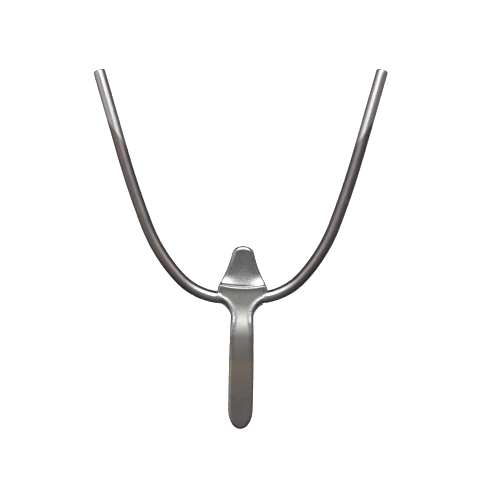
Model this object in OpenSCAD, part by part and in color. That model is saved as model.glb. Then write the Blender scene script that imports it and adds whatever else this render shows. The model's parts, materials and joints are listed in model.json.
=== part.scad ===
// Two-prong cable needle: a pair of round steel arms, brazed to the ears of a flat handle
// that carries a short curved tongue between them.
// The part lies flat: +Y runs towards the tips of the arms, +Z is up from the table, and
// the origin is on the table, under the middle of the outline.

/* [Arms] */
// Diameter of the round bar
rod_d = 3.5; // [3.4:0.05:3.7]
// Distance from the middle to the inner end of each arm
arm_inner_x = 4.3; // [3.6:0.1:4.6]
// Distance of the inner ends beyond the ears' line, from which the handle is measured
arm_line_y = 0.3; // [0:0.1:0.5]
// Radius of the tight bend beside the handle
bend_1_r = 18; // [16:0.5:21]
// Angle of the tight bend
bend_1_angle = 47.5; // [44:0.5:50]
// Radius of the easier bend that follows
bend_2_r = 47; // [35:1:60]
// Angle of the easier bend
bend_2_angle = 21.5; // [18:0.5:24]
// Radius of the long slow bend
bend_3_r = 250; // [150:10:400]
// Angle of the long slow bend
bend_3_angle = 5; // [3:0.5:6]
// Length of the straight prong at the free end
prong_length = 24.5; // [15:0.5:35]
// Radius worn on the edge of the prong's flat end
prong_edge_r = 0.3; // [0.1:0.1:0.8]

/* [Handle] */
// Thickness of the handle's strip
handle_t = 1.5; // [1.3:0.05:1.6]
// Height of the ears' front face above the table
ear_top_z = 3.35; // [3.2:0.05:3.4]
// Half the width of the handle's top edge
top_half_w = 6.8; // [6.4:0.1:7.2]
// Distance of the top corners beyond the ears' line
top_corner_y = 4.3; // [3.8:0.1:4.6]
// Depth of the hollow in the top edge
top_sag = 0.7; // [0.4:0.1:1.2]
// Half the width across the ears' lower corners
ear_half_w = 7.75; // [7.3:0.05:8]
// Distance of the ears' lower corners below the ears' line
ear_drop = 0.6; // [0.3:0.1:0.9]
// Half the width of the neck
neck_half_w = 3.25; // [3:0.05:3.4]
// Half the width of the tail at its widest
tail_half_w = 3.6; // [3.5:0.05:3.9]
// Distance of the widest place below the ears' line
tail_belly_y = 24; // [22:1:26]
// Distance of the tail's end below the ears' line
tail_end_y = 37.1; // [36:0.1:45]
// Length of the tail's rounded end
tail_end_length = 5.5; // [4:0.1:6.5]
// Angle at which the neck rises from the ears to the tail
rise_angle = 14; // [4:1:18]
// Radius of the bend where the neck starts to rise
rise_r = 16.5; // [12:0.5:20]
// Radius of the bend where the neck levels out
level_r = 25; // [18:0.5:30]
// Turn of the handle in the plane of the part, its top going towards +X
handle_lean = 1; // [0:0.25:1.25]

/* [Tongue] */
// Thickness of the tongue
tongue_t = 1.1; // [0.8:0.1:1.2]
// Distance of the tongue's tip beyond the ears' line
tongue_tip_y = 15.1; // [14:0.1:16]
// Radius of the tongue's crown
crown_r = 4.45; // [4.2:0.05:4.8]
// Radius of the two corners beside the crown
corner_r = 2.15; // [2:0.05:2.3]
// Distance of the corners' centres from the middle
corner_x = 1.05; // [0.9:0.05:1.2]
// Radius of the hollow flanks
flank_r = 31; // [27:1:40]
// Half the width of the root that is lapped behind the handle
root_half_w = 2.8; // [2.4:0.1:2.9]
// Distance of the root's end below the ears' line
root_end_y = 2; // [1:0.1:3]
// Angle of the tongue's first bend, towards the table
dip_angle = 8; // [2:1:8]
// Angle through which the tongue then curves back up
lift_angle = 20; // [10:1:24]

/* [Braze] */
// Width of the filler along each ear's lower edge
braze_w = 0.6; // [0.5:0.05:0.9]
// Height of the filler's upper surface above the table
braze_top_z = 2.85; // [2.6:0.05:3]
// Height of the filler's lower surface above the table
braze_low_z = 0.9; // [0.6:0.05:1.2]

/* [Hidden] */
$fn = 96;

// Length by which a cutting shape passes the shape that it cuts
spare = 20;

// Angle between neighbouring points of a round stretch of outline
arc_step = 5;

// Points of an arc from one angle to another, and a unit vector at an angle
function unit(angle) = [cos(angle), sin(angle)];
function arc(centre, radius, first, last) =
    let (steps = max(4, ceil(abs(last - first) / arc_step)))
    [for (i = [0 : steps]) centre + radius * unit(first + (last - first) * i / steps)];
// The right-hand points of an outline, then their mirror images in the opposite order
function both_sides(points) = concat(
    points,
    [for (i = [len(points) - 1 : -1 : 0]) [-points[i][0], points[i][1]]]
);

rod_r = rod_d / 2;
bends = [[bend_1_r, bend_1_angle], [bend_2_r, bend_2_angle], [bend_3_r, bend_3_angle]];
prong_angle = bend_1_angle + bend_2_angle + bend_3_angle;

// Heading of the arm before each bend, and the point where each bend starts
function heading(n) = n == 0 ? 0 : heading(n - 1) + bends[n - 1][1];
function bend_start(n) = n == 0
    ? [arm_inner_x, arm_line_y]
    : bend_start(n - 1) + bends[n - 1][0] * (unit(heading(n) - 90) - unit(heading(n - 1) - 90));
prong_end = bend_start(len(bends)) + prong_length * unit(prong_angle);

// A collar a hair wider than the bar covers each joint of two bends, to make them one solid
collar_r = rod_r + 0.01;
collar_length = 0.4;

// The handle turns about the point where its own axis crosses the middle of the part
lean_pivot_y = -27.6;

// Radius that sweeps each ear into the neck, and the line where it meets the tail
fillet_r = ear_half_w - neck_half_w;
neck_y = -ear_drop - fillet_r;
fillet_centre = [ear_half_w, neck_y];
// The tail's sides are wide arcs through the neck and the belly
belly = tail_half_w - neck_half_w;
side_r = (pow(neck_y + tail_belly_y, 2) + pow(belly, 2)) / (2 * belly);
side_steps = 12;
function tail_half_at(y) = tail_half_w - side_r + sqrt(pow(side_r, 2) - pow(y + tail_belly_y, 2));
// The tail's end is half an ellipse
round_y = tail_end_length - tail_end_y;
// Radius of the hollow in the handle's top edge, and the angle of its corners
sag_r = (pow(top_half_w, 2) + pow(top_sag, 2)) / (2 * top_sag);
sag_angle = asin(top_half_w / sag_r);
sag_centre = [0, top_corner_y - top_sag + sag_r];

// Side view of the handle: where the neck starts to rise and where it is level again
ear_back_z = ear_top_z - handle_t;
ear_mid_z = ear_top_z - handle_t / 2;
rise_y = -2.85;
tail_y = rise_y - (rise_r + level_r) * sin(rise_angle);
tail_mid_z = ear_mid_z + (rise_r + level_r) * (1 - cos(rise_angle));

// The tongue's plan: base under the handle's top corners, shoulders and centres of its arcs
base = [top_half_w - 0.2, top_corner_y];
shoulder = [top_half_w - 0.5, top_corner_y - 1.3];
crown_centre = [0, tongue_tip_y - crown_r];
corner_centre = crown_centre + [corner_x, sqrt(pow(crown_r - corner_r, 2) - pow(corner_x, 2))];
crown_end = atan2(corner_centre[1] - crown_centre[1], corner_x);
// The flank's arc passes the base and touches the corner's circle from outside
base_step = base - corner_centre;
flank_reach = flank_r + corner_r;
flank_turn = acos(
    (pow(norm(base_step), 2) + pow(flank_reach, 2) - pow(flank_r, 2))
    / (2 * norm(base_step) * flank_reach)
);
flank_bearing = atan2(base_step[1], base_step[0]) + flank_turn;
flank_centre = corner_centre + flank_reach * unit(flank_bearing);
flank_end = atan2(base[1] - flank_centre[1], base[0] - flank_centre[0]) + 360;

// The tongue's side view: a bend towards the table, then a long curve back up
tongue_mid_z = ear_back_z - tongue_t / 2;
dip_r = 12;
dip_centre = [base[1], tongue_mid_z - dip_r];
lift_r = (tongue_tip_y - base[1] - dip_r * sin(dip_angle))
    / (sin(dip_angle) + sin(lift_angle - dip_angle));
lift_centre = dip_centre + (dip_r + lift_r) * unit(90 - dip_angle);

// The filler's start and end about the centre of the ear's fillet
braze_first = 95;
braze_last = 165;

// The ends of the outline along Y, which set the origin
highest_y = prong_end[1] + prong_edge_r * (1 - sin(prong_angle))
    + (rod_r - prong_edge_r) * cos(prong_angle);
lowest_y = lean_pivot_y - (tail_end_y + lean_pivot_y) * cos(handle_lean);
middle_y = (highest_y + lowest_y) / 2;

// Moves the ears' line so that the origin is under the middle of the outline
module in_frame() {
    translate([0, -middle_y, 0]) children();
}

// Turns the handle, and what is fixed along it, by its lean
module leaned() {
    translate([0, lean_pivot_y, 0]) rotate(-handle_lean) translate([0, -lean_pivot_y, 0])
        children();
}

// Puts a right-hand shape on the named side
module on_side(side) {
    mirror([side == "left" ? 1 : 0, 0, 0]) children();
}

// A flat shape drawn as Y and Z, carried across the whole part along X
module across() {
    rotate([90, 0, 90]) linear_extrude(4 * ear_half_w, center = true) children();
}

// One bend of round bar, from the origin along +X, turning towards +Y
module bar_bend(radius, angle) {
    translate([0, radius, 0]) rotate(-90) rotate_extrude(angle = angle)
        translate([radius, 0]) circle(r = rod_r);
}

// The straight free end along +X, with the edge of its flat end rounded
module prong() {
    rotate([0, 90, 0]) rotate_extrude() {
        square([rod_r, prong_length - prong_edge_r]);
        square([rod_r - prong_edge_r, prong_length]);
        translate([rod_r - prong_edge_r, prong_length - prong_edge_r]) circle(r = prong_edge_r);
    }
}

// Puts a piece of bar where the given bend starts
module at_bend(n) {
    translate(bend_start(n)) rotate(heading(n)) children();
}

// The round bar of the right arm from the given bend to its free end
module bar_from(n) {
    if (n == len(bends)) {
        at_bend(n) prong();
    } else union() {
        at_bend(n) bar_bend(bends[n][0], bends[n][1]);
        union() {
            at_bend(n + 1) rotate([0, 90, 0])
                cylinder(r = collar_r, h = collar_length, center = true);
            bar_from(n + 1);
        }
    }
}

module bent_bar() {
    translate([0, 0, rod_r]) bar_from(0);
}

// Plan of the handle: hollow top edge, ears, fillets, bellied tail and elliptic end
module handle_2d() {
    top_edge = arc(sag_centre, sag_r, 270, 270 + sag_angle);
    fillet = arc(fillet_centre, fillet_r, 90, 180);
    side = [for (i = [1 : side_steps])
        let (y = neck_y + (round_y - neck_y) * i / side_steps) [tail_half_at(y), y]];
    end = [for (angle = [arc_step : arc_step : 90])
        [tail_half_at(round_y) * cos(angle), round_y - tail_end_length * sin(angle)]];
    polygon(both_sides(concat(top_edge, fillet, side, end)));
}

// Side view of the handle: flat ears, a rise in two bends, and a level tail
module handle_side_2d() {
    rise_centre = [rise_y, ear_mid_z + rise_r];
    level_centre = [tail_y, tail_mid_z - level_r];
    half_t = handle_t / 2;
    function face(side) = concat(
        [[spare, ear_mid_z + side * half_t]],
        arc(rise_centre, rise_r - side * half_t, 270, 270 - rise_angle),
        arc(level_centre, level_r + side * half_t, 90 - rise_angle, 90),
        [[-tail_end_y - spare, tail_mid_z + side * half_t]]
    );
    under = face(-1);
    polygon(concat(face(1), [for (i = [len(under) - 1 : -1 : 0]) under[i]]));
}

// Plan of the tongue: crown, corner, hollow flank, shoulder and root
module tongue_2d() {
    crown = arc(crown_centre, crown_r, 90, crown_end);
    corner = arc(corner_centre, corner_r, crown_end, flank_bearing);
    flank = arc(flank_centre, flank_r, flank_bearing + 180, flank_end);
    root = [shoulder, [root_half_w, shoulder[1]], [root_half_w, -root_end_y]];
    polygon(both_sides(concat(crown, corner, flank, root)));
}

// Side view of the tongue: lapped root, bend towards the table, and long curve back up
module tongue_side_2d() {
    half_t = tongue_t / 2;
    function face(side) = concat(
        [[-spare, tongue_mid_z + side * half_t]],
        arc(dip_centre, dip_r + side * half_t, 90, 90 - dip_angle),
        arc(lift_centre, lift_r - side * half_t, 270 - dip_angle, 270 - dip_angle + lift_angle + 1)
    );
    under = face(-1);
    polygon(concat(face(1), [for (i = [len(under) - 1 : -1 : 0]) under[i]]));
}

// One arm: the bent bar, with the handle's ear let into its upper half
module arm(side) {
    difference() {
        on_side(side) bent_bar();
        leaned() translate([0, 0, ear_back_z]) linear_extrude(spare) handle_2d();
    }
}

// Filler along one ear's lower edge, where the bar dies into the neck
module braze(side) {
    difference() {
        leaned() on_side(side) translate([0, 0, braze_low_z])
            linear_extrude(braze_top_z - braze_low_z) polygon(concat(
                arc(fillet_centre, fillet_r, braze_first, braze_last),
                arc(fillet_centre, fillet_r - braze_w, braze_last, braze_first)
            ));
        on_side(side) bent_bar();
    }
}

module left_arm() {
    color("silver") in_frame() arm("left");
}

module right_arm() {
    color("silver") in_frame() arm("right");
}

module handle() {
    color("lightgray") in_frame() leaned() intersection() {
        linear_extrude(spare) handle_2d();
        across() handle_side_2d();
    }
}

module tongue() {
    color("darkgray") in_frame() leaned() intersection() {
        linear_extrude(spare) tongue_2d();
        across() tongue_side_2d();
    }
}

module left_braze() {
    color("lightslategray") in_frame() braze("left");
}

module right_braze() {
    color("lightslategray") in_frame() braze("right");
}

left_arm();
right_arm();
handle();
tongue();
left_braze();
right_braze();
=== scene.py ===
"""Looks of the two-prong cable needle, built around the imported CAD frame.

All lengths are in metres. +Y runs towards the arms' tips, +X to the right arm and +Z up.
A pair of numbers whose name ends in _FADE is the stretch over which something fades in or out.
"""

import json
import math

import bpy
import numpy as np
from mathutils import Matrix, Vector
from mathutils.geometry import delaunay_2d_cdt


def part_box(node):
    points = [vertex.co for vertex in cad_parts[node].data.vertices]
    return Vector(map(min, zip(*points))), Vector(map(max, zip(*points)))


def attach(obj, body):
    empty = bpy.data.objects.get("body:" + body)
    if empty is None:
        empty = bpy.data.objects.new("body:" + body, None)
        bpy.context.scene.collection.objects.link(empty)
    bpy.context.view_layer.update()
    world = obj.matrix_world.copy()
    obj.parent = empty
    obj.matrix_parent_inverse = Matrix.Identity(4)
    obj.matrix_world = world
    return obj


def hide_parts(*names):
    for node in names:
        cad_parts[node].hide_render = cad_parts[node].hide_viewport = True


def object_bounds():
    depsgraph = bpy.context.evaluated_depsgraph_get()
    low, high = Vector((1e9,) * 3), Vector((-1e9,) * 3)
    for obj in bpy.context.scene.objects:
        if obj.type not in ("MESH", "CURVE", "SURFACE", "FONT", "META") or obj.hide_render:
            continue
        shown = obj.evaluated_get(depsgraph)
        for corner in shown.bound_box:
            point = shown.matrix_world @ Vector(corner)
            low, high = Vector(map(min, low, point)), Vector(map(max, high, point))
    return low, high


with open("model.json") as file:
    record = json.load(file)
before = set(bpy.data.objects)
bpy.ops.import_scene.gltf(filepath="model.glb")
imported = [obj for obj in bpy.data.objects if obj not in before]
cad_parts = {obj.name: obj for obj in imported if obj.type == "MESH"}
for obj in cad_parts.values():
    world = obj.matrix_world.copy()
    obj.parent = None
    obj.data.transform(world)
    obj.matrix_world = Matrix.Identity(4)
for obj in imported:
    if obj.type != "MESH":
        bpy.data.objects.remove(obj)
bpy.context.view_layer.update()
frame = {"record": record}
MM = 0.001

# The round bar. Its radius, and where the right arm starts, come from the frame
PRONG = next(m for m in frame["record"]["mounts"] if m["name"] == "right_prong")
PRONG_X, PRONG_Y = PRONG["pos_m"][:2]
BAR_R = PRONG["dims"]["r_mm"] * MM
ARM_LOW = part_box("right_arm")[0]
ARM_INNER_X = ARM_LOW.x
ARM_LINE_Y = ARM_LOW.y + BAR_R
# Radius, and angle in degrees, of each bend from the handle to the prong
BENDS = ((18 * MM, 47.5), (47 * MM, 21.5), (250 * MM, 5))
PRONG_LENGTH = 24.5 * MM
PRONG_EDGE_R = 0.6 * MM
# Under the ear the bar is drawn down. The drop fades out along the bar
DRAWN_DROP = 0.6 * MM
DRAWN_FADE = (1.4 * MM, 2.6 * MM)
# How fine the bar's mesh is: along it, around it, and over its worn edge
BAR_STEP = 0.5 * MM
BAR_SIDES = 40
EDGE_RINGS = 6
# Share of the flat end's radius at the ring inside it
END_RING_SHARE = 0.5

# The handle. Its lengths are measured from the ears' line, a little below the bar's centreline,
# and its heights from the ears' back
EARS_OFFSET = 0.3 * MM
EARS_LINE = ARM_LINE_Y - EARS_OFFSET
EAR_BACK_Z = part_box("handle")[0].z
STRIP_T = 1.5 * MM
TOP_HALF_W = 6.8 * MM
TOP_CORNER_Y = 4.3 * MM
TOP_SAG = 0.7 * MM
TOP_ARC_R = (TOP_HALF_W ** 2 + TOP_SAG ** 2) / (2 * TOP_SAG)
TOP_ARC_Y = TOP_CORNER_Y - TOP_SAG + TOP_ARC_R
EAR_HALF_W = 7.75 * MM
EAR_DROP = 0.6 * MM
NECK_HALF_W = 3.25 * MM
FILLET_R = EAR_HALF_W - NECK_HALF_W
NECK_Y = -EAR_DROP - FILLET_R
TAIL_HALF_W = 3.6 * MM
TAIL_BELLY_Y = -24 * MM
TAIL_END_Y = -37.1 * MM
TAIL_END_LENGTH = 5.5 * MM
RISE_Y = -1 * MM
RISE_R = 21 * MM
LEVEL_R = 20.5 * MM
RISE_ANGLE = math.radians(14)
LEAN = math.radians(-1)
LEAN_PIVOT_Y = -27.6 * MM
# A bead along each fillet carries the bar's crest on into the neck
BEAD_H = 0.3 * MM
BEAD_W = 1.9 * MM
BEAD_FADE = (-9.5 * MM, -5.5 * MM)
BEAD_TOP_FADE = (0, 1.5 * MM)
# A low lip along the top edge
LIP_H = 0.12 * MM
LIP_FADE = (0.4 * MM, 2.4 * MM)
# Towards its outer edge each ear hugs the round bar, and then dips into it. The hug starts
# further out towards the tips, by the slant, and follows the bar's side down to the given share
# of its radius from the centreline
HUG_SLANT = 0.63
HUG_SIDE = 0.62
HUG_FADE = (4.7 * MM, 6.2 * MM)
HUG_LOW_FADE = (-3 * MM, -1.5 * MM)
DIP = 0.3 * MM
DIP_FADE = (6.7 * MM, EAR_HALF_W)
# The width of the handle's rolled edge, and what the tail, neck, lip and ears add to it
HANDLE_RIM = 0.5 * MM
TAIL_RIM = 0.4 * MM
TAIL_RIM_FADE = (-16 * MM, -11 * MM)
NECK_RIM = 0.2 * MM
NECK_RIM_FADE = (-13.5 * MM, -9.5 * MM)
NECK_TOP_FADE = (-1.2 * MM, 0.2 * MM)
LIP_RIM = 0.2 * MM
LIP_RIM_FADE = (1.5 * MM, 2.8 * MM)
LIP_SIDE_FADE = (3.6 * MM, 5.8 * MM)
EAR_RIM = -0.15 * MM
EAR_RIM_FADE = (6 * MM, 7 * MM)

# The tongue. Its lengths and heights are measured as the handle's are
TONGUE_T = 1.1 * MM
TONGUE_TIP_Y = 15.1 * MM
CROWN_R = 4.45 * MM
CORNER_R = 2.15 * MM
CORNER_X = 1.05 * MM
FLANK_R = 31 * MM
BASE_INSET = 0.2 * MM
SHOULDER_INSET = 0.3 * MM
SHOULDER_DROP = 1.3 * MM
ROOT_HALF_W = 2.8 * MM
ROOT_END_Y = -2 * MM
TONGUE_DIP = math.radians(8)
TONGUE_LIFT = math.radians(10)
TONGUE_FOLD_Y = 3 * MM
TONGUE_LEVEL_Y = 8.5 * MM
CORNER_DROP = 0.35 * MM
CORNER_SIDE_FADE = (1 * MM, 6 * MM)
CORNER_FADE = (3 * MM, 7 * MM)
TONGUE_RIM = 0.35 * MM
TIP_RIM = 0.65 * MM
TIP_RIM_FADE = (5 * MM, 12 * MM)

# The filler along the ears' lower edges. Its ends are angles in degrees about its bend
FILLER_R = 0.45 * MM
FILLER_Z = 1.6 * MM
FILLER_BEND_R = 3.5 * MM
FILLER_INSET = 0.2 * MM
FILLER_FIRST = 100
FILLER_LAST = 182
FILLER_STEP = 1.5
FILLER_SIDES = 16
# Its height over its width, the share of its radius left at its ends, and the power of its
# swell between them, which is fuller the lower it is
FILLER_TALL = 1.5
FILLER_THIN = 0.3
FILLER_SWELL = 0.7

# Share of each strip's thickness, from the back, at which it is widest, and how square
# the roll of its edge is: 1 is a straight slope, 2 is round
HANDLE_WAIST = 0.35
HANDLE_SQUARENESS = 1.9
TONGUE_WAIST = 0.2
TONGUE_SQUARENESS = 1.5

# How fine the strips' meshes are, and how many rounds smooth the outline and each ring
CURVE_POINTS = 40
OUTLINE_STEP = 0.18 * MM
OUTLINE_ROUNDING = 12
RIM_RINGS = 9
RING_ROUNDING = 2
MESH_STEP = 0.4 * MM
MESH_GAP = 0.55 * MESH_STEP
# Points of the outline closer than this are one
NO_LENGTH = 1e-9
# The triangulation keeps what is inside, and joins points closer than this, in millimetres
CDT_INSIDE = 1
CDT_CLOSE = 1e-6

# The metal's surface
GRAIN_SIZE = 0.35 * MM
GRAIN_COLOUR = (0.3, 0.29, 0.29)
STREAK_SIZE = 0.25 * MM
SHEEN_SPREAD = 0.15
BUMP_DEPTH = 0.01 * MM
WORN_COLOUR = (0.85, 0.84, 0.83)
WORN_SHARE = 0.25
WORN_FADE = (0.52, 0.6)
SPECK_FADE = (0.35, 0.65)
NOISE_FADE = (0.3, 0.7)
NOISE_ROUGHNESS = 0.6

# Where each finish lies, painted highlights and shadow among them. The free ends carry a painted
# highlight down to a slanted line, which passes a little below the prong's middle
BRIGHT_SLANT = 1.4
BRIGHT_BELOW = 3.8 * MM
BRIGHT_BLUR = 0.4 * MM
BRIGHT_EDGE = PRONG_Y - BRIGHT_BELOW - BRIGHT_SLANT * PRONG_X
BRIGHT_ENDS_FADE = (BRIGHT_EDGE - BRIGHT_BLUR, BRIGHT_EDGE + BRIGHT_BLUR)
DULL_BAR_FADE = (9 * MM, 16 * MM)
MATTE_FADE = (-19 * MM, -9 * MM)
MATTE_DEPTH_FADE = (0.9 * MM, 1.7 * MM)
BRIGHT_RIM_FADE = (-11 * MM, -8 * MM)
BRIGHT_RIM_W = 1.6 * MM
BRIGHT_LIP_W = 0.75 * MM
BRIGHT_LIP_FADE = (1 * MM, 2.5 * MM)
RIM_EDGE_FADE = (-0.2 * MM, 0.2 * MM)
TINT_TOP_FADE = (-18.5 * MM, -16.5 * MM)
TINT_FADE = (-29 * MM, -20 * MM)
DULL_TONGUE_FADE = (5 * MM, 7.5 * MM)
BRIGHT_TIP_FADE = (11 * MM, 13 * MM)
TIP_DEPTH_FADE = (0.7 * MM, 1.1 * MM)
CREASE_FADE = (0.3 * MM, 0.5 * MM)
CREASE_SIDE_FADE = (0, 3 * MM)

# Numbers of the colour sockets of a Mix node
MIX_FIRST = 6
MIX_SECOND = 7
MIX_RESULT = 2

# The floor and its far walls reach this many times the object's length
FLOOR_REACH = 20
FLOOR_LIGHT = (0.94, 0.94, 0.94)
FLOOR_DARK = (0.9, 0.9, 0.9)
FLOOR_PATCH = 60 * MM

# The room that the metal mirrors, by the direction in which it is seen
LEFT_SIDE = (0.47, 0.43, 0.41)
RIGHT_SIDE = (0.17, 0.16, 0.17)
ENDS = (0.08, 0.07, 0.08)
OVERHEAD = (0.185, 0.18, 0.185)
LOW_SIDES = (0.11, 0.1, 0.1)
LOW_ENDS = (0.03, 0.027, 0.03)
RIGHT_FADE = (-0.75, 0.3)
ENDS_FADE = (0.2, 0.6)
OVERHEAD_FADE = (0.7, 0.97)
HORIZON_FADE = (-0.12, 0.06)

# The lights hang level. Brightness is power for each square metre
NEAR_SOFTBOX = (0, 0.115, 0.34)
NEAR_SOFTBOX_SIZE = (0.18, 0.09)
FAR_SOFTBOX = (0.02, 0.43, 0.34)
FAR_SOFTBOX_SIZE = (0.7, 0.54)
SOFTBOX_BRIGHTNESS = 5.4
SOFTBOX_COLOUR = (0.98, 1, 1)
FILL = (0, 0, 1.6)
FILL_SIZE = (2, 2)
FILL_BRIGHTNESS = 22.5
FILL_COLOUR = (1, 1, 1)

CAMERA_HEIGHT = 0.6
VIEW_WIDTH = 137.3 * MM
VIEW_CENTRE = (-0.2 * MM, 2.45 * MM)
SENSOR_WIDTH = 36


# ---------- outlines ----------

def unit(angle):
    """The unit vector at an angle in radians."""
    return np.array([math.cos(angle), math.sin(angle)])


def arc(centre, radius, first, last, step=3):
    """Points of an arc between two angles in degrees."""
    count = max(3, math.ceil(abs(last - first) / step))
    angles = np.radians(np.linspace(first, last, count + 1))
    return np.column_stack([centre[0] + radius * np.cos(angles), centre[1] + radius * np.sin(angles)])


def both_sides(right):
    """A closed outline from its right-hand points, listed from the top down."""
    left = right[::-1] * np.array([-1, 1])
    return np.vstack([right, left])


def rounded(loop, rounds):
    """The closed outline with its corners rounded off a little more in each round."""
    for _ in range(rounds):
        loop = (np.roll(loop, 1, axis=0) + 2 * loop + np.roll(loop, -1, axis=0)) / 4
    return loop


def inward(loop):
    """Unit vectors into the outline, square to it, at each of its points."""
    along = np.roll(loop, -1, axis=0) - np.roll(loop, 1, axis=0)
    along /= np.linalg.norm(along, axis=1)[:, None]
    return np.column_stack([-along[:, 1], along[:, 0]])


def even_loop(points, step, rounds):
    """The closed outline at even spacing, anticlockwise, with its corners rounded off."""
    closed = np.vstack([points, points[:1]])
    keep = np.append(True, np.linalg.norm(np.diff(closed, axis=0), axis=1) > NO_LENGTH)
    closed = closed[keep]
    reach = np.append(0, np.cumsum(np.linalg.norm(np.diff(closed, axis=0), axis=1)))
    count = round(reach[-1] / step)
    stops = np.linspace(0, reach[-1], count, endpoint=False)
    loop = np.column_stack([np.interp(stops, reach, closed[:, axis]) for axis in (0, 1)])
    loop = rounded(loop, rounds)
    after = np.roll(loop, -1, axis=0)
    area = np.sum(loop[:, 0] * after[:, 1] - after[:, 0] * loop[:, 1])
    return loop if area > 0 else loop[::-1]


def tail_half_width(y):
    """Half the width of the tail, whose sides are wide arcs."""
    belly = TAIL_HALF_W - NECK_HALF_W
    radius = ((NECK_Y - TAIL_BELLY_Y) ** 2 + belly ** 2) / (2 * belly)
    return TAIL_HALF_W - radius + math.sqrt(radius ** 2 - (y - TAIL_BELLY_Y) ** 2)


def handle_outline():
    """Plan of the handle: hollow top edge, ears, fillets, bellied tail and elliptic end."""
    corner = math.degrees(math.asin(TOP_HALF_W / TOP_ARC_R))
    top = arc((0, TOP_ARC_Y), TOP_ARC_R, 270, 270 + corner, 1)
    fillet = arc((EAR_HALF_W, NECK_Y), FILLET_R, 90, 180)
    round_y = TAIL_END_Y + TAIL_END_LENGTH
    side = np.array([(tail_half_width(y), y) for y in np.linspace(NECK_Y, round_y, CURVE_POINTS)])
    turn = np.linspace(0, math.pi / 2, CURVE_POINTS)
    end = np.column_stack([
        tail_half_width(round_y) * np.cos(turn),
        round_y - TAIL_END_LENGTH * np.sin(turn),
    ])
    return both_sides(np.vstack([top, fillet, side, end]))


def tongue_outline():
    """Plan of the tongue: crown, corners, hollow flanks, and a root under the handle."""
    crown_centre = np.array([0, TONGUE_TIP_Y - CROWN_R])
    corner_rise = math.sqrt((CROWN_R - CORNER_R) ** 2 - CORNER_X ** 2)
    corner_centre = crown_centre + np.array([CORNER_X, corner_rise])
    crown_end = math.degrees(math.atan2(corner_rise, CORNER_X))
    # Each flank passes the base and touches the corner's circle from outside
    base = np.array([TOP_HALF_W - BASE_INSET, TOP_CORNER_Y])
    step = base - corner_centre
    reach = FLANK_R + CORNER_R
    span = np.linalg.norm(step)
    turn = math.acos((span ** 2 + reach ** 2 - FLANK_R ** 2) / (2 * span * reach))
    bearing = math.atan2(step[1], step[0]) + turn
    flank_centre = corner_centre + reach * unit(bearing)
    bearing = math.degrees(bearing)
    to_base = base - flank_centre
    flank_end = math.degrees(math.atan2(to_base[1], to_base[0])) + 360
    root_y = base[1] - SHOULDER_DROP
    root = np.array([
        (base[0] - SHOULDER_INSET, root_y),
        (ROOT_HALF_W, root_y),
        (ROOT_HALF_W, ROOT_END_Y),
    ])
    return both_sides(np.vstack([
        arc(crown_centre, CROWN_R, 90, crown_end),
        arc(corner_centre, CORNER_R, crown_end, bearing),
        arc(flank_centre, FLANK_R, bearing + 180, flank_end, 1),
        root,
    ]))


# ---------- meshes ----------

def smooth_step(value, low, high):
    """0 below low, 1 above high, and a smooth rise between them."""
    share = np.clip((value - low) / (high - low), 0, 1)
    return share * share * (3 - 2 * share)


def make_object(name, vertices, faces, edge_distance=None, smooth=True):
    """A mesh object, which can carry each vertex's distance from the nearest edge."""
    mesh = bpy.data.meshes.new(name)
    mesh.from_pydata([tuple(v) for v in vertices], [], faces)
    mesh.validate()
    mesh.polygons.foreach_set("use_smooth", [smooth] * len(mesh.polygons))
    if edge_distance is not None:
        attribute = mesh.attributes.new("edge_distance", "FLOAT", "POINT")
        attribute.data.foreach_set("value", edge_distance)
    piece = bpy.data.objects.new(name, mesh)
    bpy.context.scene.collection.objects.link(piece)
    return piece


def leaned(points):
    """Turns points about the lean's pivot, and moves them from the ears' line into the frame."""
    x, y = points[:, 0], points[:, 1] - LEAN_PIVOT_Y
    turned = points.copy()
    turned[:, 0] = x * math.cos(LEAN) - y * math.sin(LEAN)
    turned[:, 1] = x * math.sin(LEAN) + y * math.cos(LEAN) + LEAN_PIVOT_Y + EARS_LINE
    return turned


def in_outline(points, loop):
    """Which of the points are inside the closed outline."""
    after = np.roll(loop, -1, axis=0)
    x, y = points[:, :1], points[:, 1:]
    crosses = (loop[:, 1] > y) != (after[:, 1] > y)
    with np.errstate(divide="ignore", invalid="ignore"):
        where = loop[:, 0] + (y - loop[:, 1]) * (after[:, 0] - loop[:, 0]) / (after[:, 1] - loop[:, 1])
    return (np.sum(crosses & (x < where), axis=1) % 2) == 1


def distance_from(loop, points):
    """Distance from each point to the nearest point of the outline."""
    return np.linalg.norm(points[:, None] - loop[None], axis=2).min(axis=1)


def fill_points(loop):
    """A staggered grid of points well inside the outline."""
    low, high = loop.min(axis=0), loop.max(axis=0)
    points = []
    for row, y in enumerate(np.arange(low[1], high[1], MESH_STEP * math.sqrt(3) / 2)):
        shift = MESH_STEP / 2 if row % 2 else 0
        points += [(x, y) for x in np.arange(low[0] + shift, high[0], MESH_STEP)]
    points = np.array(points)
    points = points[in_outline(points, loop)]
    return points[distance_from(loop, points) > MESH_GAP]


def rim_rings(loop, widths):
    """Rings from the outline to the rolled edge's inner side, and the share of its width at each."""
    shares = 1 - np.cos(np.linspace(0, math.pi / 2, RIM_RINGS + 1))
    rings = [loop]
    for step in np.diff(shares):
        inner = rings[-1] + inward(rings[-1]) * (widths * step)[:, None]
        rings.append(rounded(inner, RING_ROUNDING))
    return rings, shares


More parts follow.
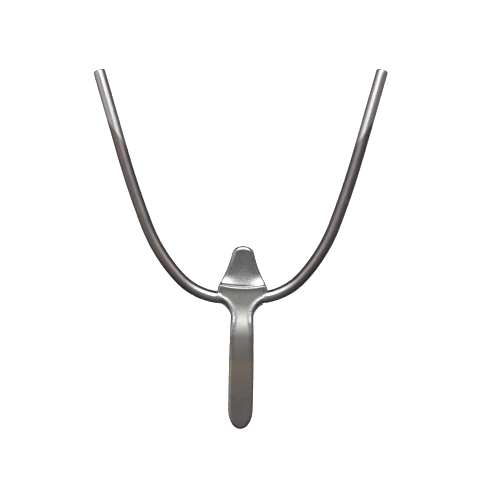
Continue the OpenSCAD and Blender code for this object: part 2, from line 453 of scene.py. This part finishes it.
def slab_faces(flat, count):
    """Faces of a strip's front and back, which share the first ring of points.

    flat lists the points of the front: rings of count points, then the points inside them.
    The back's points follow the front's in the same order, without the shared ring.
    """
    to_back = len(flat) - count
    core = np.arange(RIM_RINGS * count, len(flat))
    edges = [(i, (i + 1) % count) for i in range(count)]
    points = [Vector(p) for p in flat[core] / MM]
    _, _, triangles, origins, _, _ = delaunay_2d_cdt(points, edges, [], CDT_INSIDE, CDT_CLOSE)
    faces = []
    for triangle in triangles:
        corners = [int(core[origins[i][0]]) for i in triangle]
        faces.append(corners)
        faces.append([i + to_back for i in corners[::-1]])
    for ring_start in range(0, RIM_RINGS * count, count):
        for i in range(count):
            a, b = ring_start + i, ring_start + (i + 1) % count
            c, d = b + count, a + count
            faces.append([a, b, c, d])
            faces.append([j if j < count else j + to_back for j in (d, c, b, a)])
    return faces


def slab(name, outline, rim_width, front, back, waist, squareness):
    """A strip of metal with rolled edges.

    front and back give the height of each face, front also from the distance to the edge, and
    rim_width the width of the rolled edge at each point of the outline.
    """
    loop = even_loop(outline, OUTLINE_STEP, OUTLINE_ROUNDING)
    count = len(loop)
    rings, shares = rim_rings(loop, rim_width(loop))
    inside = fill_points(rings[-1])
    flat = np.vstack(rings + [inside])
    depth = distance_from(loop, flat)
    rolls = (1 - (1 - shares) ** squareness) ** (1 / squareness)
    roll = np.append(np.repeat(rolls, count), np.ones(len(inside)))

    front_z = front(flat, depth)
    back_z = back(flat)
    waist_z = back_z + (front_z - back_z) * waist
    upper = np.column_stack([flat, waist_z + (front_z - waist_z) * roll])
    lower = np.column_stack([flat, waist_z + (back_z - waist_z) * roll])
    vertices = leaned(np.vstack([upper, lower[count:]]))
    return make_object(name, vertices, slab_faces(flat, count), np.append(depth, depth[count:]))


def ring(centre, across, half_w, half_h, z, sides, drop=0):
    """Points of an upright ellipse, across the given direction, with its top lowered by a drop."""
    turns = np.linspace(0, 2 * math.pi, sides, endpoint=False)
    flat = centre + np.outer(half_w * np.cos(turns), across)
    height = z + half_h * np.sin(turns) - drop * np.clip(np.sin(turns), 0, None)
    return np.column_stack([flat, height])


def tube_faces(rows, sides):
    """Faces of a closed tube, whose rings of points run anticlockwise seen from its first end."""
    faces = [list(range(sides)), [(rows - 1) * sides + i for i in range(sides)][::-1]]
    for row in range(rows - 1):
        for i in range(sides):
            a = row * sides + i
            b = row * sides + (i + 1) % sides
            faces.append([a, a + sides, b + sides, b])
    return faces


def on_side(side, vertices, faces):
    """A right-hand shape for the right side, and its mirror image for the left."""
    if side == "right":
        return vertices, faces
    return vertices * np.array([-1, 1, 1]), [face[::-1] for face in faces]


# ---------- pieces ----------

def strip_rise(y):
    """Height of the handle's strip above the ears: a rise in two bends, then level."""
    below = np.clip(RISE_Y - y, 0, None)
    first_length = RISE_R * math.sin(RISE_ANGLE)
    second_length = LEVEL_R * math.sin(RISE_ANGLE)
    height = (RISE_R + LEVEL_R) * (1 - math.cos(RISE_ANGLE))
    left = np.clip(first_length + second_length - below, 0, second_length)
    first = RISE_R - np.sqrt(RISE_R ** 2 - np.clip(below, 0, first_length) ** 2)
    second = height - (LEVEL_R - np.sqrt(LEVEL_R ** 2 - left ** 2))
    return np.where(below < first_length, first, second)


def bar_top(x, y):
    """Height of the bar's upper side where the ear hugs it, by the tight bend's centreline."""
    radius = BENDS[0][0]
    along = np.clip(x - ARM_INNER_X, 0, None)
    line_y = ARM_LINE_Y - EARS_LINE + radius - np.sqrt(radius ** 2 - along ** 2)
    off = np.clip(np.abs(y - line_y) / BAR_R, 0, HUG_SIDE)
    return BAR_R * (1 + np.sqrt(1 - off ** 2))


def handle_rim(loop):
    """Width of the handle's rolled edge."""
    x, y = np.abs(loop[:, 0]), loop[:, 1]
    ear = smooth_step(x, *EAR_RIM_FADE)
    tail = 1 - smooth_step(y, *TAIL_RIM_FADE)
    neck = smooth_step(y, *NECK_RIM_FADE) * (1 - smooth_step(y, *NECK_TOP_FADE)) * (1 - ear)
    lip = smooth_step(y, *LIP_RIM_FADE) * (1 - smooth_step(x, *LIP_SIDE_FADE))
    return HANDLE_RIM + TAIL_RIM * tail + NECK_RIM * neck + LIP_RIM * lip + EAR_RIM * ear


def handle_front(points, depth):
    """Height of the handle's front: strip, beads and lip, and ears that hug the bars."""
    x, y = np.abs(points[:, 0]), points[:, 1]
    level = EAR_BACK_Z + STRIP_T + strip_rise(y)
    along = smooth_step(y, *BEAD_FADE) * (1 - smooth_step(y, *BEAD_TOP_FADE))
    bead = BEAD_H * along * np.sin(np.pi * np.clip(depth / BEAD_W, 0, 1)) ** 2
    below_top = TOP_CORNER_Y - TOP_SAG * (1 - (x / TOP_HALF_W) ** 2) - y
    lip = LIP_H * (1 - smooth_step(below_top, *LIP_FADE))
    hug = smooth_step(x - HUG_SLANT * y, *HUG_FADE) * smooth_step(y, *HUG_LOW_FADE)
    dip = DIP * smooth_step(x, *DIP_FADE)
    return (level + bead + lip) * (1 - hug) + bar_top(x, y) * hug - dip


def handle_back(points):
    """Height of the handle's back."""
    return EAR_BACK_Z + strip_rise(points[:, 1])


def make_handle():
    """The handle: ears, neck and tail, with rolled edges."""
    return slab(
        "handle_strip", handle_outline(), handle_rim, handle_front, handle_back,
        HANDLE_WAIST, HANDLE_SQUARENESS,
    )


def tongue_profile(y):
    """Height of the tongue's side view: a dip past the lip, then a lift to the tip."""
    dip_length = TONGUE_LEVEL_Y - TONGUE_FOLD_Y
    lift_length = TONGUE_TIP_Y - TONGUE_LEVEL_Y
    down = np.clip((y - TONGUE_FOLD_Y) / dip_length, 0, 1)
    up = np.clip((y - TONGUE_LEVEL_Y) / lift_length, 0, None)
    dip = math.tan(TONGUE_DIP) * dip_length * (down - down ** 2 / 2)
    lift = math.tan(TONGUE_LIFT) * lift_length * up ** 2 / 2
    return lift - dip


def tongue_rim(loop):
    """Width of the tongue's rolled edge."""
    return TONGUE_RIM + TIP_RIM * smooth_step(loop[:, 1], *TIP_RIM_FADE)


def tongue_front(points, depth):
    """Height of the tongue's front, whose upper corners slope down."""
    x, y = np.abs(points[:, 0]), points[:, 1]
    corner = smooth_step(x, *CORNER_SIDE_FADE) * smooth_step(y, *CORNER_FADE)
    return EAR_BACK_Z + tongue_profile(y) - CORNER_DROP * corner


def tongue_back(points):
    """Height of the tongue's back."""
    return EAR_BACK_Z - TONGUE_T + tongue_profile(points[:, 1])


def make_tongue():
    """The tongue: a spoon-shaped strip with rolled edges."""
    return slab(
        "tongue_strip", tongue_outline(), tongue_rim, tongue_front, tongue_back,
        TONGUE_WAIST, TONGUE_SQUARENESS,
    )


def bar_line():
    """The right arm's centreline: its points and headings, up to its worn edge."""
    place, heading = np.array([ARM_INNER_X, ARM_LINE_Y]), 0.0
    places, headings = [place], [heading]
    for radius, angle in BENDS:
        steps = math.ceil(radius * math.radians(angle) / BAR_STEP)
        turn = math.radians(angle) / steps
        for _ in range(steps):
            place = place + 2 * radius * math.sin(turn / 2) * unit(heading + turn / 2)
            heading += turn
            places.append(place)
            headings.append(heading)
    straight = PRONG_LENGTH - PRONG_EDGE_R
    for stop in np.linspace(0, straight, math.ceil(straight / BAR_STEP) + 1)[1:]:
        places.append(place + stop * unit(heading))
        headings.append(heading)
    return np.array(places), np.array(headings)


def make_arm(side):
    """One arm: the bent bar, drawn down under the ear, with a worn edge at its flat end."""
    places, headings = bar_line()
    reach = np.append(0, np.cumsum(np.linalg.norm(np.diff(places, axis=0), axis=1)))
    drops = DRAWN_DROP * (1 - smooth_step(reach, *DRAWN_FADE))
    radii = np.full(len(places), BAR_R)

    turns = np.linspace(0, math.pi / 2, EDGE_RINGS + 1)[1:]
    past = np.append(PRONG_EDGE_R * np.sin(turns), PRONG_EDGE_R)
    edge_radii = BAR_R - PRONG_EDGE_R * (1 - np.cos(turns))
    flat_end_r = (BAR_R - PRONG_EDGE_R) * END_RING_SHARE
    places = np.vstack([places, places[-1] + np.outer(past, unit(headings[-1]))])
    headings = np.append(headings, np.full(len(past), headings[-1]))
    radii = np.concatenate([radii, edge_radii, [flat_end_r]])
    drops = np.append(drops, np.zeros(len(past)))

    rings = [
        ring(place, unit(heading - math.pi / 2), radius, radius, BAR_R, BAR_SIDES, drop)
        for place, heading, radius, drop in zip(places, headings, radii, drops)
    ]
    vertices, faces = on_side(side, np.vstack(rings), tube_faces(len(rings), BAR_SIDES))
    return make_object(side + "_bar", vertices, faces)


def make_filler(side):
    """Filler along one ear's lower edge: a bead that thins out at both ends."""
    centre = (NECK_HALF_W + FILLER_BEND_R - FILLER_INSET, NECK_Y + FILLER_INSET)
    path = arc(centre, FILLER_BEND_R, FILLER_FIRST, FILLER_LAST, FILLER_STEP)
    swell = np.sin(np.pi * np.linspace(0, 1, len(path))) ** FILLER_SWELL
    radii = FILLER_R * (FILLER_THIN + (1 - FILLER_THIN) * swell)
    along = np.gradient(path, axis=0)
    along /= np.linalg.norm(along, axis=1)[:, None]
    across = np.column_stack([along[:, 1], -along[:, 0]])
    rings = [
        ring(place, normal, radius, radius * FILLER_TALL, FILLER_Z, FILLER_SIDES)
        for place, normal, radius in zip(path, across, radii)
    ]
    vertices, faces = on_side(side, np.vstack(rings), tube_faces(len(rings), FILLER_SIDES))
    return make_object(side + "_filler", leaned(vertices), faces)


# ---------- nodes ----------

class Nodes:
    """Adds nodes to a material or world and links them."""

    def __init__(self, owner):
        owner.use_nodes = True
        self.tree = owner.node_tree
        self.tree.nodes.clear()

    def add(self, kind, **settings):
        """A new node with the given settings."""
        node = self.tree.nodes.new(kind)
        for key, value in settings.items():
            setattr(node, key, value)
        return node

    def put(self, socket, value):
        """Links another node's socket to this one, or sets its value."""
        if isinstance(value, bpy.types.NodeSocket):
            self.tree.links.new(value, socket)
        else:
            socket.default_value = value


def noise(nodes, coordinates, size, detail, stretch=(1, 1, 1)):
    """A noise whose features are about the given size, drawn out along each axis."""
    mapping = nodes.add("ShaderNodeMapping")
    nodes.put(mapping.inputs["Vector"], coordinates)
    mapping.inputs["Scale"].default_value = [1 / s for s in stretch]
    texture = nodes.add("ShaderNodeTexNoise", noise_dimensions="3D")
    nodes.put(texture.inputs["Vector"], mapping.outputs["Vector"])
    texture.inputs["Scale"].default_value = 1 / size
    texture.inputs["Detail"].default_value = detail
    texture.inputs["Roughness"].default_value = NOISE_ROUGHNESS
    return texture.outputs["Fac"]


def ranged(nodes, value, fade, to_low=0.0, to_high=1.0):
    """The value carried from the fade's range to another range, and held at its ends."""
    node = nodes.add("ShaderNodeMapRange", clamp=True)
    nodes.put(node.inputs["Value"], value)
    node.inputs["From Min"].default_value, node.inputs["From Max"].default_value = fade
    nodes.put(node.inputs["To Min"], to_low)
    nodes.put(node.inputs["To Max"], to_high)
    return node.outputs["Result"]


def falling(nodes, value, fade):
    """1 before the fade and 0 after it."""
    return ranged(nodes, value, fade, 1.0, 0.0)


def mixed(nodes, share, first, second):
    """A colour mixed from two others."""
    node = nodes.add("ShaderNodeMix", data_type="RGBA")
    nodes.put(node.inputs["Factor"], share)
    for number, value in ((MIX_FIRST, first), (MIX_SECOND, second)):
        colour = value if isinstance(value, bpy.types.NodeSocket) else (*value, 1)
        nodes.put(node.inputs[number], colour)
    return node.outputs[MIX_RESULT]


def computed(nodes, operation, first, second=0.0, third=0.0):
    """The result of a math operation on one, two or three values."""
    node = nodes.add("ShaderNodeMath", operation=operation)
    for socket, value in zip(node.inputs, (first, second, third)):
        nodes.put(socket, value)
    return node.outputs["Value"]


def axis_value(nodes, position, axis):
    """One coordinate of the position."""
    split = nodes.add("ShaderNodeSeparateXYZ")
    nodes.put(split.inputs["Vector"], position)
    return split.outputs[axis]


def bumped(nodes, height, strength, under=None):
    """The surface's direction with small bumps on it, over the bumps under them."""
    bump = nodes.add("ShaderNodeBump")
    bump.inputs["Strength"].default_value = strength
    bump.inputs["Distance"].default_value = BUMP_DEPTH
    nodes.put(bump.inputs["Height"], height)
    if under is not None:
        nodes.put(bump.inputs["Normal"], under)
    return bump.outputs["Normal"]


# ---------- where each finish lies, painted highlights and shadow among them ---

def from_middle(nodes, position):
    """Distance from the middle, to the left or the right."""
    return computed(nodes, "ABSOLUTE", axis_value(nodes, position, "X"))


def from_ears_line(nodes, position):
    """Distance from the ears' line, towards the tips."""
    return computed(nodes, "SUBTRACT", axis_value(nodes, position, "Y"), EARS_LINE)


def edge_distance(nodes):
    """Distance from the nearest edge of a strip."""
    return nodes.add("ShaderNodeAttribute", attribute_name="edge_distance").outputs["Fac"]


def painted_highlight_ends(nodes, position):
    """Painted highlight: 1 on the arms' free ends, and 0 beyond the slanted line where they stop."""
    y = axis_value(nodes, position, "Y")
    slanted = computed(nodes, "MULTIPLY_ADD", from_middle(nodes, position), -BRIGHT_SLANT, y)
    return ranged(nodes, slanted, BRIGHT_ENDS_FADE)


def painted_highlight_roots(nodes, position):
    """Painted highlight: 1 on the arms beside the ears, fading to 0 along the first bend."""
    return falling(nodes, from_middle(nodes, position), DULL_BAR_FADE)


def matte_face(nodes, position):
    """1 on the face of the ears and the neck, and 0 on the tail and along the edges."""
    along = ranged(nodes, from_ears_line(nodes, position), MATTE_FADE)
    inner = ranged(nodes, edge_distance(nodes), MATTE_DEPTH_FADE)
    return computed(nodes, "MULTIPLY", along, inner)


def warm_tail(nodes, position):
    """1 on the heat-tinted part of the tail, which starts below the neck and fades downwards."""
    y = from_ears_line(nodes, position)
    above = falling(nodes, y, TINT_TOP_FADE)
    return computed(nodes, "MULTIPLY", above, ranged(nodes, y, TINT_FADE))


def painted_highlight_rim(nodes, position):
    """Painted highlight: 1 along the edges of the ears and the neck, and 0 on their face and on the
    tail.
    """
    y = from_ears_line(nodes, position)
    along = ranged(nodes, y, BRIGHT_RIM_FADE)
    width = ranged(nodes, y, BRIGHT_LIP_FADE, BRIGHT_RIM_W, BRIGHT_LIP_W)
    past = computed(nodes, "SUBTRACT", edge_distance(nodes), width)
    return computed(nodes, "MULTIPLY", along, falling(nodes, past, RIM_EDGE_FADE))


def painted_highlight_root(nodes, position):
    """Painted highlight: 1 on the tongue beside the handle's lip, and 0 on the rest of it."""
    return falling(nodes, from_ears_line(nodes, position), DULL_TONGUE_FADE)


def painted_highlight_tip(nodes, position):
    """Painted highlight: 1 along the edge of the tongue's tip."""
    along = ranged(nodes, from_ears_line(nodes, position), BRIGHT_TIP_FADE)
    outer = falling(nodes, edge_distance(nodes), TIP_DEPTH_FADE)
    return computed(nodes, "MULTIPLY", along, outer)


def painted_crease_shadow(nodes, position):
    """Painted shadow: 1 on the tongue close above the handle's lip, where the lip shades it, fading
    out towards the right.
    """
    centre = leaned(np.array([[0, TOP_ARC_Y, 0]]))[0]
    x = computed(nodes, "SUBTRACT", axis_value(nodes, position, "X"), centre[0])
    y = computed(nodes, "SUBTRACT", axis_value(nodes, position, "Y"), centre[1])
    squared = computed(nodes, "MULTIPLY_ADD", x, x, computed(nodes, "MULTIPLY", y, y))
    gap = computed(nodes, "SUBTRACT", TOP_ARC_R, computed(nodes, "SQRT", squared))
    close = falling(nodes, gap, CREASE_FADE)
    return computed(nodes, "MULTIPLY", close, falling(nodes, x, CREASE_SIDE_FADE))


# ---------- materials ----------

def steel(name, light, dark, patch, roughness, grain, streak=(1, 1, 1), zones=()):
    """Stainless steel: drifting colour, fine grain, drawn streaks, and brighter worn edges.

    Each zone gives the share of another finish, painted highlights and shadows included, over the
    piece, and its tint and roughness.
    """
    material = bpy.data.materials.new(name)
    nodes = Nodes(material)
    position = nodes.add("ShaderNodeTexCoord").outputs["Object"]
    drift = noise(nodes, position, patch, detail=2)
    speck = noise(nodes, position, GRAIN_SIZE, detail=4)
    lines = noise(nodes, position, STREAK_SIZE, detail=3, stretch=streak)

    colour = mixed(nodes, ranged(nodes, drift, NOISE_FADE), dark, light)
    sheen = roughness
    for find_share, tint, zone_roughness in zones:
        share = find_share(nodes, position)
        colour = mixed(nodes, share, colour, tint)
        sheen = ranged(nodes, share, (0, 1), sheen, zone_roughness)
    spread = ranged(nodes, lines, NOISE_FADE, 1 - SHEEN_SPREAD, 1 + SHEEN_SPREAD)
    sheen = computed(nodes, "MULTIPLY", sheen, spread)
    colour = mixed(nodes, ranged(nodes, speck, SPECK_FADE, grain, 0.0), colour, GRAIN_COLOUR)
    worn = nodes.add("ShaderNodeNewGeometry").outputs["Pointiness"]
    colour = mixed(nodes, ranged(nodes, worn, WORN_FADE, 0.0, WORN_SHARE), colour, WORN_COLOUR)

    shader = nodes.add("ShaderNodeBsdfPrincipled")
    shader.inputs["Metallic"].default_value = 1
    nodes.put(shader.inputs["Base Color"], colour)
    nodes.put(shader.inputs["Roughness"], sheen)
    grained = bumped(nodes, speck, grain)
    nodes.put(shader.inputs["Normal"], bumped(nodes, lines, grain, grained))
    output = nodes.add("ShaderNodeOutputMaterial")
    nodes.put(output.inputs["Surface"], shader.outputs["BSDF"])
    return material


def bar_steel():
    """Dull drawn bar, smoother at its free ends and beside the ears, with painted highlight on both.
    """
    return steel(
        "bar_steel", light=(0.45, 0.38, 0.34), dark=(0.32, 0.31, 0.35), patch=9 * MM,
        roughness=0.36, grain=0.2,
        zones=(
            # painted highlight on the free ends
            (painted_highlight_ends, (0.97, 0.96, 0.98), 0.3),
            # painted highlight on the bars beside the ears
            (painted_highlight_roots, (0.95, 0.95, 0.95), 0.2),
        ),
    )


def handle_steel():
    """Satin strip, streaked along the tail, with a matte face, a warm tint and painted highlight along
    the rims.
    """
    return steel(
        "handle_steel", light=(0.62, 0.56, 0.51), dark=(0.5, 0.47, 0.46), patch=4 * MM,
        roughness=0.27, grain=0.25, streak=(0.6, 4, 1),
        zones=(
            (matte_face, (0.74, 0.74, 0.69), 0.38),
            (warm_tail, (0.78, 0.67, 0.53), 0.26),
            # painted highlight along the rims of the ears and the neck
            (painted_highlight_rim, (0.96, 0.96, 0.97), 0.26),
        ),
    )


def tongue_steel():
    """Grainy polished strip with painted highlight at its root and tip, and painted shadow in its
    crease.
    """
    return steel(
        "tongue_steel", light=(0.76, 0.8, 0.73), dark=(0.6, 0.56, 0.62), patch=2 * MM,
        roughness=0.25, grain=0.4,
        zones=(
            # painted highlight at the tongue's root
            (painted_highlight_root, (0.9, 0.9, 0.89), 0.25),
            # painted shadow in the crease under the handle's lip
            (painted_crease_shadow, (0.12, 0.11, 0.11), 0.5),
            # painted highlight along the edge of the tongue's tip
            (painted_highlight_tip, (0.95, 0.94, 0.98), 0.2),
        ),
    )


def filler_metal():
    """Smooth grey brazing filler."""
    return steel(
        "filler_metal", light=(0.6, 0.56, 0.58), dark=(0.42, 0.4, 0.42), patch=2 * MM,
        roughness=0.32, grain=0.3,
    )


def floor_paint():
    """Pale matte paint with faint clouds."""
    material = bpy.data.materials.new("floor_paint")
    nodes = Nodes(material)
    position = nodes.add("ShaderNodeTexCoord").outputs["Object"]
    shade = noise(nodes, position, FLOOR_PATCH, detail=2)
    shader = nodes.add("ShaderNodeBsdfPrincipled")
    nodes.put(shader.inputs["Base Color"], mixed(nodes, shade, FLOOR_DARK, FLOOR_LIGHT))
    shader.inputs["Roughness"].default_value = 0.9
    shader.inputs["Specular IOR Level"].default_value = 0.1
    output = nodes.add("ShaderNodeOutputMaterial")
    nodes.put(output.inputs["Surface"], shader.outputs["BSDF"])
    return material


# ---------- the studio ----------

def make_floor():
    """A plain pale floor under the object, with plain pale walls far behind it."""
    low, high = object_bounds()
    reach = FLOOR_REACH * (high[1] - low[1])
    foot = [(-reach, -reach, 0), (reach, -reach, 0), (reach, reach, 0), (-reach, reach, 0)]
    top = [(x, y, reach) for x, y, _ in foot]
    walls = [[(i + 1) % 4, i, i + 4, (i + 1) % 4 + 4] for i in range(4)]
    floor = make_object("floor", foot + top, [[0, 1, 2, 3]] + walls, smooth=False)
    floor.location.z = low[2]
    floor.data.materials.append(floor_paint())
    floor.visible_glossy = False


def make_world():
    """A dim room: grey overhead, lighter to the left, and dark around and below."""
    world = bpy.data.worlds.new("room")
    bpy.context.scene.world = world
    nodes = Nodes(world)
    direction = nodes.add("ShaderNodeTexCoord").outputs["Generated"]
    x, y, z = (axis_value(nodes, direction, axis) for axis in ("X", "Y", "Z"))
    sides = mixed(nodes, ranged(nodes, x, RIGHT_FADE), LEFT_SIDE, RIGHT_SIDE)
    to_ends = ranged(nodes, computed(nodes, "ABSOLUTE", y), ENDS_FADE)
    around = mixed(nodes, to_ends, sides, ENDS)
    upper = mixed(nodes, ranged(nodes, z, OVERHEAD_FADE), around, OVERHEAD)
    lower = mixed(nodes, to_ends, LOW_SIDES, LOW_ENDS)
    room = mixed(nodes, ranged(nodes, z, HORIZON_FADE), lower, upper)
    background = nodes.add("ShaderNodeBackground")
    nodes.put(background.inputs["Color"], room)
    background.inputs["Strength"].default_value = 1
    output = nodes.add("ShaderNodeOutputWorld")
    nodes.put(output.inputs["Surface"], background.outputs["Background"])


def make_light(name, centre, size, brightness, colour, in_reflections=True):
    """A rectangular soft light that faces straight down."""
    light = bpy.data.lights.new(name, "AREA")
    light.shape = "RECTANGLE"
    light.size, light.size_y = size
    light.energy = brightness * size[0] * size[1]
    light.color = colour
    lamp = bpy.data.objects.new(name, light)
    lamp.location = centre
    lamp.visible_glossy = in_reflections
    bpy.context.scene.collection.objects.link(lamp)


def make_lights():
    """Two softboxes beyond the arms' tips, and a wide fill overhead that isn't mirrored."""
    softbox = {"brightness": SOFTBOX_BRIGHTNESS, "colour": SOFTBOX_COLOUR}
    make_light("near_softbox", NEAR_SOFTBOX, NEAR_SOFTBOX_SIZE, **softbox)
    make_light("far_softbox", FAR_SOFTBOX, FAR_SOFTBOX_SIZE, **softbox)
    make_light("fill", FILL, FILL_SIZE, FILL_BRIGHTNESS, FILL_COLOUR, in_reflections=False)


def make_camera():
    """Straight above the object, looking down."""
    camera = bpy.data.cameras.new("camera")
    camera.sensor_width = SENSOR_WIDTH
    camera.lens = SENSOR_WIDTH * CAMERA_HEIGHT / VIEW_WIDTH
    viewer = bpy.data.objects.new("camera", camera)
    viewer.location = (*VIEW_CENTRE, CAMERA_HEIGHT)
    bpy.context.scene.collection.objects.link(viewer)
    bpy.context.scene.camera = viewer


def put_in_frame(piece, material, node):
    """Gives a piece its material, and puts it in place of its CAD node."""
    piece.data.materials.append(material)
    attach(piece, "root")
    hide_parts(node)


bar_finish = bar_steel()
filler_finish = filler_metal()
for side in ("left", "right"):
    put_in_frame(make_arm(side), bar_finish, side + "_arm")
    put_in_frame(make_filler(side), filler_finish, side + "_braze")
put_in_frame(make_handle(), handle_steel(), "handle")
put_in_frame(make_tongue(), tongue_steel(), "tongue")

make_floor()
make_world()
make_lights()
make_camera()
bpy.context.scene.view_settings.view_transform = "Standard"
